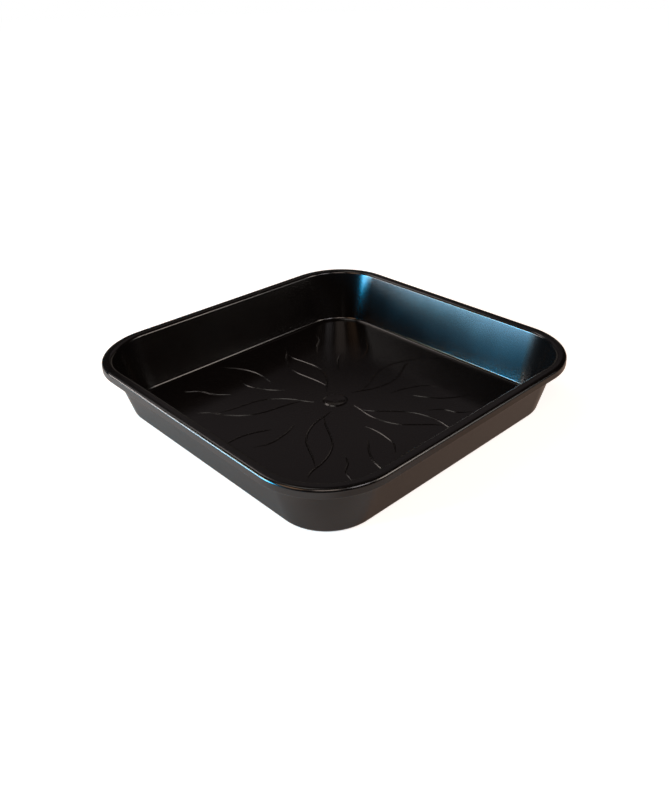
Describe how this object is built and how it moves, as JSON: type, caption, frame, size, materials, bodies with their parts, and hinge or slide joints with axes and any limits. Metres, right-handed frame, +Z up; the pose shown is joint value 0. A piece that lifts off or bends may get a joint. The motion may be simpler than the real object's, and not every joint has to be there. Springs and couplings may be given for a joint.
{
  "type": "plant saucer",
  "caption": "Square plastic plant saucer with rounded corners, sloping walls, a turned-down rim and a floor of wavy ribs that lifts a pot above the drained water.",
  "frame": {"origin": "middle of the flat face that the saucer stands on", "axes": "+Z up out of the tray; X and Y along its sides, and the tray is the same in both apart from the ribs"},
  "size_m": [0.3, 0.3, 0.05],
  "materials": {
    "plastic": "satin, very dark brown that reads as black"
  },
  "bodies": {
    "root": {"saucer": "plastic"}
  },
  "joints": []
}
